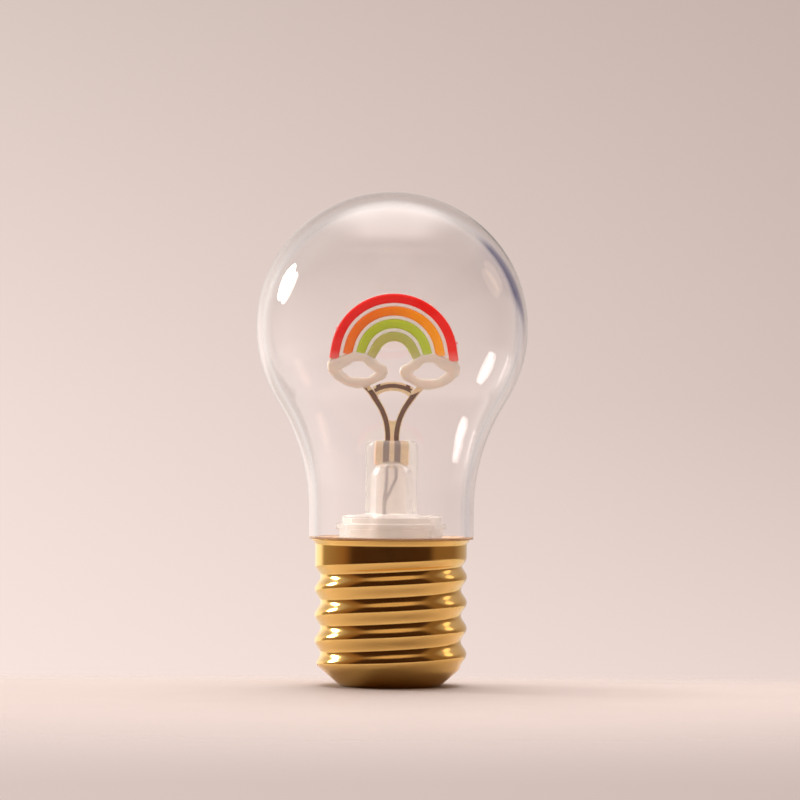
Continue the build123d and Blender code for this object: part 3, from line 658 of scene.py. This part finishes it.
class LAMP_OT_rainbow(bpy.types.Operator):
    """Builds the four coloured silicone strips"""
    bl_idname = "lamp.rainbow"
    bl_label = "Rainbow"

    def silicone(self, name, tint, bright):
        """Dyed soft silicone, a little brighter towards one end, with a faint painted glow in its own colour.
        """
        finish = Finish(name)
        place = finish.place()
        drift = finish.add("ShaderNodeMath", operation="MULTIPLY_ADD")
        finish.link(finish.noise(420, detail=3.0), "Fac", drift, 0)
        drift.inputs[1].default_value = 0.004
        finish.link(place, "X", drift, 2)
        along = finish.span(drift, "Value", 0, 1, -0.004, 0.02)
        ramp = finish.ramp(along, "Result", [(0.0, tint), (1.0, bright)])
        pale = finish.ramp(along, "Result", [(0.0, blended(tint, 0.3)), (1.0, blended(bright, 0.3))])
        # paler near the clouds
        rise = finish.span(place, "Z", 0, 1, 0.0945, 0.0985)
        blend = finish.add("ShaderNodeMix", data_type="RGBA")
        finish.link(rise, "Result", blend, 0)
        finish.link(pale, "Color", blend, 6)
        finish.link(ramp, "Color", blend, 7)
        # the colour also feeds the emission: a painted glow, as the strips are no lamp
        for socket in ("Base Color", "Emission Color"):
            finish.link(blend, 2, finish.surface, socket)
        finish.rough(0.3, 0.45, 700)
        finish.relief(900, 0.00006, 0.5)
        # Emission_Strength is the strength of that painted glow
        finish.set(
            Emission_Strength=0.12, Specular_IOR_Level=0.3, Subsurface_Weight=0.2,
            Subsurface_Scale=0.0006, IOR=1.42,
        )
        return finish

    side_fullness = 0.55
    face_fullness = 0.62

    def arch(self, bm, s, radius, width, thickness, foot):
        """One soft-edged arch with straight legs that spread a little."""
        turn = math.asin(s.leg_top / radius)
        drop = (s.centre + radius * math.sin(turn) - foot) / math.cos(turn)
        before = set(bm.verts)
        ring = bmesh.ops.create_circle(bm, cap_ends=False, segments=28, radius=1)["verts"]
        edges = list({e for v in ring for e in v.link_edges})
        for v in ring:
            c, d = v.co.x, v.co.y
            v.co.x = math.copysign(abs(c) ** self.side_fullness, c) * width / 2 + radius
            v.co.y = math.copysign(abs(d) ** self.face_fullness, d) * thickness / 2
        bmesh.ops.translate(bm, verts=ring, vec=(0, 0, -drop))
        made = bmesh.ops.extrude_edge_only(bm, edges=edges)["geom"]
        upper = [g for g in made if isinstance(g, bmesh.types.BMVert)]
        edges = [g for g in made if isinstance(g, bmesh.types.BMEdge)]
        bmesh.ops.translate(bm, verts=upper, vec=(0, 0, drop))
        new = [v for v in bm.verts if v not in before]
        bmesh.ops.rotate(bm, verts=new, cent=(0, 0, 0), matrix=Matrix.Rotation(-turn, 3, "Y"))
        made = bmesh.ops.spin(
            bm, geom=edges, cent=(0, 0, 0), axis=(0, 1, 0), angle=-(math.pi - 2 * turn), steps=72
        )["geom_last"]
        edges = [g for g in made if isinstance(g, bmesh.types.BMEdge)]
        made = bmesh.ops.extrude_edge_only(bm, edges=edges)["geom"]
        lower = [g for g in made if isinstance(g, bmesh.types.BMVert)]
        bmesh.ops.translate(bm, verts=lower, vec=Matrix.Rotation(turn, 3, "Y") @ Vector((0, 0, -drop)))
        bmesh.ops.holes_fill(bm, edges=[e for e in bm.edges if e.is_boundary], sides=0)
        new = [v for v in bm.verts if v not in before]
        bmesh.ops.translate(bm, verts=new, vec=(0, 0, s.centre))

    def execute(self, context):
        s = settings().rainbow
        f = settings().finish
        # name, colour on the left and on the right, height of the lower ends in millimetres
        strips = [
            ("red", f.red, linear(240, 26, 8), 95.6),
            ("orange", f.orange, linear(255, 166, 20), 97.0),
            ("lime", f.lime, linear(184, 200, 60), 97.3),
            ("olive", f.olive, linear(180, 184, 96), 94.6),
        ]
        for index, (name, tint, bright, foot) in enumerate(strips):
            bm = bmesh.new()
            radius = s.radius - index * s.pitch
            self.arch(bm, s, radius, s.width, s.thickness, foot * MM)
            if name == "red":
                # moulding gates, at an angle and a distance over the strip's middle
                for angle, out_by in ((154.7, 1.38), (13.2, 1.42)):
                    self.nub(bm, s, radius + out_by * MM, math.radians(angle))
            lean(bm)
            add_piece(
                name + "_strip", bm, "root", self.silicone(name + "_silicone", tuple(tint), bright),
                [name + "_filament"], sharp=50,
            )
        # webs in the gaps between the strips, and a thin one round the outer strip
        bm = bmesh.new()
        for index, foot in enumerate((96.4, 97.2, 96.6)):
            radius = s.radius - (index + 0.5) * s.pitch
            self.arch(bm, s, radius, s.pitch - s.width + 0.1 * MM, 1.3 * MM, foot * MM)
        self.arch(bm, s, s.radius + s.width / 2 + 0.08 * MM, 0.3 * MM, 1.1 * MM, 95.8 * MM)
        lean(bm)
        milky = Finish("clear_silicone")
        milky.tint(linear(238, 229, 221), 0.03, 500)
        milky.rough(0.3, 0.45, 700)
        milky.relief(900, 0.00004, 0.5)
        # the emission here is a painted glow that brightens the milky webs
        milky.set(
            Transmission_Weight=0.35, Emission_Strength=0.12, Emission_Color=linear(235, 225, 217),
            IOR=1.4,
        )
        add_piece("strip_webs", bm, "root", milky, sharp=50)
        return {"FINISHED"}

    def nub(self, bm, s, radius, angle):
        """Small moulding gate that stands out of the outer strip."""
        place = Matrix.Translation((radius * math.cos(angle), 0, s.centre + radius * math.sin(angle)))
        size = mm(0.8, 0.9, 0.9)
        shape = place @ Matrix.Rotation(-angle, 4, "Y") @ Matrix.Diagonal((*size, 1))
        made = bmesh.ops.create_cube(bm, size=1, matrix=shape)["verts"]
        edges = list({e for v in made for e in v.link_edges})
        bmesh.ops.bevel(bm, geom=edges, offset=0.2 * MM, affect="EDGES", segments=2, profile=0.5, material=-1)


def lean(bm):
    """Leans a shape of the board to the right, as the whole board does."""
    s = settings().rainbow
    bmesh.ops.rotate(
        bm, verts=bm.verts, cent=(0, 0, s.foot), matrix=Matrix.Rotation(s.lean, 3, "Y")
    )


class LAMP_OT_clouds(bpy.types.Operator):
    """Builds the two milky clouds"""
    bl_idname = "lamp.clouds"
    bl_label = "Clouds"

    # corners of the right cloud round its middle, in millimetres; the left one is its mirror image
    outer = [
        (9.1, 2.2), (8.8, -0.6), (6.5, -2.9), (3.6, -4.5), (0, -5.4), (-2.9, -4.8), (-5.2, -3.6),
        (-7.9, -2.3), (-8.9, -0.3), (-8.3, 1.6), (-6.4, 2.4), (-4.6, 3.9), (-2.6, 5.0), (0.1, 5.6),
        (2.2, 5.3), (3.9, 4.5), (5.4, 3.8), (7.8, 3.2),
    ]
    inner = [
        (5.0, 0.1), (3.0, 1.2), (1.2, 2.65), (-1.5, 2.6), (-2.8, 1.2), (-5.1, -0.5), (-3.0, -1.95),
        (-0.5, -2.1), (2.3, -1.9), (3.6, -1.0),
    ]

    def reach(self, corners, angle):
        """Distance from the middle to the outline in one direction."""
        way = Vector((math.cos(angle), math.sin(angle)))
        for a, b in zip(corners, corners[1:] + corners[:1]):
            a, b = Vector(a), Vector(b)
            side = b - a
            cross = way.x * side.y - way.y * side.x
            if abs(cross) < 1e-9:
                continue
            along = (a.x * side.y - a.y * side.x) / cross
            part = (a.x * way.y - a.y * way.x) / cross
            if along > 0 and 0 <= part <= 1:
                return along
        raise ValueError("the outline doesn't go round its middle")

    def soft_reach(self, corners, angle):
        """The same, averaged over a small fan so that the corners are soft."""
        half_fan = 0.06
        fan = [(i / 6, math.exp(-((i / 4) ** 2))) for i in range(-6, 7)]
        total = sum(w for _, w in fan)
        return sum(w * self.reach(corners, angle + t * half_fan) for t, w in fan) / total * MM

    def execute(self, context):
        s = settings().rainbow
        f = settings().finish
        finish = Finish("milky_silicone")
        finish.tint(tuple(f.cloud), 0.05, 260)
        finish.rough(0.35, 0.5, 500)
        finish.relief(700, 0.00008, 0.5)
        # the emission here is a painted glow that brightens the clouds
        finish.set(
            Transmission_Weight=0.3, Subsurface_Weight=0.5, Subsurface_Scale=0.0022,
            Subsurface_Radius=(1.0, 0.8, 0.65), IOR=1.3, Emission_Strength=0.05,
            Emission_Color=linear(218, 200, 188),
        )
        # a plain ring of 24 by 144 points, whose section and reach are then set point by point
        ring, tube = 2, 0.5
        fullness = 0.7
        for side, name in ((-1, "left"), (1, "right")):
            bm = bmesh.new()
            bmesh.ops.create_circle(
                bm, cap_ends=False, segments=24, radius=tube, matrix=Matrix.Translation((ring, 0, 0))
            )
            bmesh.ops.spin(
                bm, geom=bm.verts[:] + bm.edges[:], cent=(0, 0, 0), axis=(0, 1, 0), angle=2 * math.pi,
                steps=144, use_merge=True,
            )
            reaches = {}
            for v in bm.verts:
                angle = math.atan2(v.co.z, v.co.x)
                key = round(angle, 4)
                if key not in reaches:
                    reaches[key] = (self.soft_reach(self.inner, angle), self.soft_reach(self.outer, angle))
                low, high = reaches[key]
                c = (math.hypot(v.co.x, v.co.z) - ring) / tube
                d = v.co.y / tube
                c = math.copysign(abs(c) ** fullness, c)
                d = math.copysign(abs(d) ** fullness, d)
                radius = (low + high) / 2 + c * (high - low) / 2
                v.co.x = side * (s.cloud_centre + radius * math.cos(angle))
                v.co.y = d * s.cloud_thickness / 2
                v.co.z = s.cloud_height + radius * math.sin(angle)
            lean(bm)
            add_piece("cloud_ring_" + name, bm, "root", finish, ["cloud_" + name], sharp=80)
        return {"FINISHED"}


class LAMP_OT_board(bpy.types.Operator):
    """Finishes the board, its copper and its chips"""
    bl_idname = "lamp.board"
    bl_label = "Board"

    def execute(self, context):
        f = settings().finish
        board = Finish("bare_board")
        board.tint(tuple(f.board), 0.08, 900)
        board.rough(0.4, 0.55, 900)
        board.relief(2400, 0.00002, 0.6)
        board.set(Subsurface_Weight=0.3, Subsurface_Scale=0.0006, IOR=1.5)
        dress(board, "led_board")
        trace = Finish("copper_trace")
        trace.tint(tuple(f.trace), 0.15, 700)
        trace.rough(0.3, 0.45, 900)
        trace.relief(1800, 0.00002, 0.6)
        trace.set(Metallic=0.3, IOR=1.5)
        dress(trace, "board_traces")
        chip = Finish("led_chip")
        chip.tint((0.86, 0.74, 0.3), 0.08, 1500, detail=2.0)
        chip.rough(0.2, 0.35, 1500, detail=2.0)
        chip.relief(3000, 0.00001, 0.5)
        dress(chip, "led_chips")
        return {"FINISHED"}


class LAMP_OT_inside(bpy.types.Operator):
    """Finishes the leads, the cell holder, the cells and the contacts"""
    bl_idname = "lamp.inside"
    bl_label = "Inside"

    def execute(self, context):
        f = settings().finish
        wire = moulded_plastic("lead_insulation", tuple(f.wire), 0.35)
        dress(wire, "lead_wire_positive", "lead_wire_negative")
        white = moulded_plastic("white_plastic", tuple(f.holder), 0.4)
        dress(white, "battery_holder", "contact_carrier")
        can = plated_strip("cell_can", (0.62, 0.63, 0.66), 0.3)
        dress(can, "battery_cell_front", "battery_cell_left", "battery_cell_right")
        dress(
            plated_strip("nickel_contact", (0.66, 0.64, 0.6), 0.28),
            "top_positive_contact", "top_bridge_contact", "bottom_bridge_contact",
            "bottom_terminal_contact", "lead_strip", "battery_strip", "switch_terminals",
        )
        dress(plated_strip("plated_screw", (0.6, 0.6, 0.6), 0.3), "stem_screws")
        dress(moulded_plastic("resistor_lacquer", (0.62, 0.5, 0.34), 0.3), "series_resistor")
        return {"FINISHED"}


class LAMP_OT_underside(bpy.types.Operator):
    """Finishes the cover and the switch"""
    bl_idname = "lamp.underside"
    bl_label = "Cover and switch"

    def execute(self, context):
        f = settings().finish
        cover = Finish("gold_cover")
        cover.tint(tuple(f.gold), 0.06, 80)
        cover.rough(0.3, 0.42, 400)
        cover.relief(3800, 0.00001, 0.6)
        cover.set(Metallic=1.0)
        dress(cover, "battery_cover")
        black = moulded_plastic("black_plastic", (0.018, 0.017, 0.017), 0.42)
        dress(black, "switch_body", "switch_knob")
        return {"FINISHED"}


class LAMP_OT_stage(bpy.types.Operator):
    """Sets the table, the surroundings, the lights and the camera"""
    bl_idname = "lamp.stage"
    bl_label = "Stage"

    def table(self, context):
        """Pale table top that fades into the surroundings, outwards and behind the lamp."""
        bm = bmesh.new()
        bmesh.ops.create_circle(bm, cap_ends=True, segments=96, radius=settings().stage.table)
        mesh = bpy.data.meshes.new("table")
        bm.to_mesh(mesh)
        bm.free()
        table = bpy.data.objects.new("table", mesh)
        context.scene.collection.objects.link(table)
        finish = Finish("table_paint")
        finish.tint(linear(193, 183, 179), 0.01, 14, detail=2.0)
        finish.rough(0.6, 0.7, 40, detail=2.0)
        distance = finish.add("ShaderNodeVectorMath", operation="LENGTH")
        finish.link(finish.coords, "Object", distance, 0)
        place = finish.place()
        outward = finish.span(distance, "Value", 0, 1, 0.1, 0.32)
        back = finish.span(place, "Y", 0, 1, 0.01, 0.07)
        outward.interpolation_type = back.interpolation_type = "SMOOTHSTEP"
        fade = finish.add("ShaderNodeMath", operation="MAXIMUM")
        finish.link(outward, "Result", fade, 0)
        finish.link(back, "Result", fade, 1)
        finish.clear_where(fade, "Value")
        mesh.materials.append(finish.material)

    def surroundings(self, context):
        """World in two halves: the wall and table that the eye sees, and the room that surfaces mirror."""
        world = bpy.data.worlds.new("studio")
        context.scene.world = world
        world.use_nodes = True
        tree = world.node_tree
        tree.nodes.clear()

        def add(kind, **values):
            node = tree.nodes.new(kind)
            for key, value in values.items():
                setattr(node, key, value)
            return node

        def span(source, start, end, smooth=True):
            """From 0 at the start to 1 at the end, and flat beyond them."""
            node = add("ShaderNodeMapRange", interpolation_type="SMOOTHSTEP" if smooth else "LINEAR")
            for key, value in (("From Min", start), ("From Max", end)):
                node.inputs[key].default_value = value
            tree.links.new(source, node.inputs["Value"])
            return node.outputs["Result"]

        def feed(socket, value):
            """Gives a socket a number, a colour or what another socket says."""
            if isinstance(value, bpy.types.NodeSocket):
                tree.links.new(value, socket)
            else:
                socket.default_value = (*value, 1) if isinstance(value, tuple) else value

        def mixed(factor, first, second):
            """The first colour where the factor is 0, the second where it is 1."""
            node = add("ShaderNodeMix", data_type="RGBA")
            for index, value in ((6, first), (7, second), (0, factor)):
                feed(node.inputs[index], value)
            return node.outputs[2]

        def maths(operation, a, b):
            node = add("ShaderNodeMath", operation=operation)
            feed(node.inputs[0], a)
            feed(node.inputs[1], b)
            return node.outputs[0]

        def ring(source, stops):
            """Colours round the lamp, from (degrees, colour) stops, with 0 in front."""
            node = add("ShaderNodeValToRGB")
            fill_ramp(node, [(degrees / 360 + 0.5, value) for degrees, value in stops])
            tree.links.new(source, node.inputs["Fac"])
            return node.outputs["Color"]

        coords = add("ShaderNodeTexCoord")
        way = add("ShaderNodeSeparateXYZ")
        tree.links.new(coords.outputs["Generated"], way.inputs[0])
        x, y, z = way.outputs
        # x, y and z: the direction looked in
        # what the eye sees: a pale wall that meets the table behind the lamp; both carry painted light,
        # lighter on the left where the key lamp falls and darker to the right, and the wall darkens upwards
        across = span(x, -0.11, 0.11, smooth=False)
        upper = span(z, 0.0157, 0.118, smooth=False)
        lower = span(z, -0.0576, 0.0157, smooth=False)
        near = span(z, -0.058, -0.082, smooth=False)
        left = mixed(lower, linear(249, 230, 223), linear(240, 221, 214))
        left = mixed(upper, left, linear(217, 200, 192))
        right = mixed(lower, linear(233, 214, 207), linear(212, 193, 186))
        right = mixed(upper, right, linear(198, 179, 172))
        wall = mixed(across, left, right)
        floor = mixed(
            across, mixed(near, linear(242, 222, 215), linear(218, 200, 192)),
            mixed(near, linear(227, 208, 201), linear(208, 189, 182)),
        )
        seen = mixed(span(z, -0.0595, -0.0555), floor, wall)
        # away from the middle the wall is painted lighter on the left, where the key lamp falls, with one
        # dark slanting thing on the right
        out = maths("SQRT", maths("ADD", maths("MULTIPLY", x, x), maths("MULTIPLY", z, z)), 0.0)
        sides = mixed(span(x, -0.5, 0.5), (0.84, 0.75, 0.71), (0.64, 0.56, 0.54))
        above = mixed(span(z, 0.2, 0.6), sides, (0.63, 0.55, 0.52))
        seen = mixed(span(out, 0.25, 0.6), seen, above)
        slant = maths("ABSOLUTE", maths("SUBTRACT", z, maths("MULTIPLY", x, 0.66)), 0.0)
        thing = maths("MULTIPLY", span(slant, 0.3, 0.14), span(x, 0.24, 0.42))
        seen = mixed(thing, seen, (0.11, 0.1, 0.17))
        # what gold and plastic mirror: a bright wall behind, warm sides and a dark room in front
        turn = maths("DIVIDE", maths("ARCTAN2", x, maths("MULTIPLY", y, -1.0)), 2 * math.pi)
        around = ring(maths("ADD", turn, 0.5), [
            (-180, (0.7, 0.62, 0.58)), (-158, (1.4, 1.28, 1.2)), (-134, (1.4, 1.25, 1.13)),
            (-122, (0.4, 0.3, 0.2)), (-76, (0.27, 0.135, 0.065)), (-60, (0.06, 0.026, 0.014)),
            (0, (0.043, 0.018, 0.009)), (60, (0.065, 0.03, 0.016)), (72, (0.24, 0.14, 0.075)),
            (112, (0.26, 0.16, 0.1)), (136, (0.48, 0.39, 0.35)), (180, (0.7, 0.62, 0.58)),
        ])
        # overhead a thin line of light and a bright ceiling, both bowed to the back at their ends
        aside = maths("ABSOLUTE", x, 0.0)
        bow = maths("SUBTRACT", y, maths("MULTIPLY", maths("MULTIPLY", x, x), 0.9))
        line = maths("MULTIPLY", span(bow, -0.5, -0.42), span(bow, -0.32, -0.41))
        line = maths("MULTIPLY", maths("MULTIPLY", line, span(z, 0.5, 0.7)), span(aside, 0.66, 0.3))
        room = mixed(line, around, (0.95, 0.68, 0.5))
        room = mixed(maths("MULTIPLY", span(z, 0.1, 0.5), span(y, 0.0, 0.3)), room, (0.55, 0.47, 0.44))
        ceiling = maths("MULTIPLY", span(z, 0.5, 0.8), span(aside, 0.55, 0.2))
        ceiling = maths("MULTIPLY", maths("MULTIPLY", ceiling, span(bow, -0.32, -0.05)), span(y, 0.75, 0.45))
        room = mixed(ceiling, room, (6.0, 5.4, 5.2))
        # below the horizon the table goes on, brighter behind the lamp
        beyond = mixed(span(y, -0.3, 0.1), (0.5, 0.4, 0.33), (0.9, 0.8, 0.72))
        mirrored = mixed(span(z, -0.2, -0.12), beyond, room)
        path = add("ShaderNodeLightPath")
        eye = maths("MAXIMUM", path.outputs["Is Camera Ray"], path.outputs["Is Transmission Ray"])
        shine = add("ShaderNodeBackground")
        tree.links.new(mixed(eye, mirrored, seen), shine.inputs["Color"])
        output = add("ShaderNodeOutputWorld")
        tree.links.new(shine.outputs[0], output.inputs["Surface"])

    def lamp(self, context, name, place, aim, size, radiance, tint):
        """Oval soft box that looks at a point, its brightness given as radiance."""
        data = bpy.data.lights.new(name, "AREA")
        data.shape = "ELLIPSE"
        data.size, data.size_y = size
        data.energy = math.pi**2 / 4 * size[0] * size[1] * radiance
        data.color = tint
        lamp = bpy.data.objects.new(name, data)
        lamp.location = place
        lamp.rotation_euler = (Vector(aim) - Vector(place)).to_track_quat("-Z", "Y").to_euler()
        context.scene.collection.objects.link(lamp)
        lamp.visible_camera = False
        return lamp

    def execute(self, context):
        s = settings().stage
        scene = context.scene
        scene.view_settings.view_transform = "Standard"
        self.table(context)
        self.surroundings(context)
        # name, place, point looked at, size, brightness, tint, whether surfaces mirror it
        for *lamp, mirrored in (
            ("key", (-0.757, 0.348, 0.44), (0, 0, 0.1), (0.22, 0.29), s.key, (1, 0.95, 0.9), True),
            ("warm", (0.75, 0.3, 0.5), (0, 0, 0.1), (0.24, 0.27), s.warm, (1, 0.72, 0.5), True),
            ("fill", (0.1, -0.55, 1.0), (0, 0, 0.1), (0.7, 0.7), s.fill, (1, 0.95, 0.92), False),
            ("low", (-1.2, 0.5, 0.42), (0, 0, 0.05), (0.2, 0.2), s.low, (1, 0.96, 0.92), False),
        ):
            lamp = self.lamp(context, *lamp)
            lamp.visible_glossy = lamp.visible_transmission = mirrored
        data = bpy.data.cameras.new("camera")
        data.lens = s.focal
        data.sensor_width = 36
        data.clip_start = 0.05
        camera = bpy.data.objects.new("camera", data)
        place = Vector((0, -s.distance, s.eye_height))
        aim = Vector((s.aim_side, 0, s.aim_height))
        turn = (aim - place).to_track_quat("-Z", "Y").to_matrix() @ Matrix.Rotation(s.roll, 3, "Z")
        camera.matrix_world = Matrix.Translation(place) @ turn.to_4x4()
        scene.collection.objects.link(camera)
        scene.camera = camera
        return {"FINISHED"}


class LAMP_PT_panel(bpy.types.Panel):
    """Steps that build the lamp"""
    bl_idname = "LAMP_PT_panel"
    bl_label = "Rainbow Lamp"
    bl_space_type = "VIEW_3D"
    bl_region_type = "UI"
    bl_category = "Lamp"

    def draw(self, context):
        for operator in OPERATORS:
            self.layout.operator(operator.bl_idname)


GROUPS = (
    BulbSettings, StemSettings, BaseSettings, RainbowSettings, FinishSettings, StageSettings,
    LampSettings,
)
OPERATORS = (
    LAMP_OT_stage, LAMP_OT_base, LAMP_OT_stem, LAMP_OT_bulb, LAMP_OT_rainbow, LAMP_OT_clouds,
    LAMP_OT_board, LAMP_OT_inside, LAMP_OT_underside,
)


def register():
    for item in GROUPS + OPERATORS + (LAMP_PT_panel,):
        bpy.utils.register_class(item)
    bpy.types.Scene.rainbow_lamp = PointerProperty(type=LampSettings)


def unregister():
    del bpy.types.Scene.rainbow_lamp
    for item in reversed(GROUPS + OPERATORS + (LAMP_PT_panel,)):
        bpy.utils.unregister_class(item)


def main():
    """Registers the steps and runs them in order."""
    register()
    for operator in OPERATORS:
        group, name = operator.bl_idname.split(".")
        getattr(getattr(bpy.ops, group), name)()


if __name__ == "__main__":
    main()
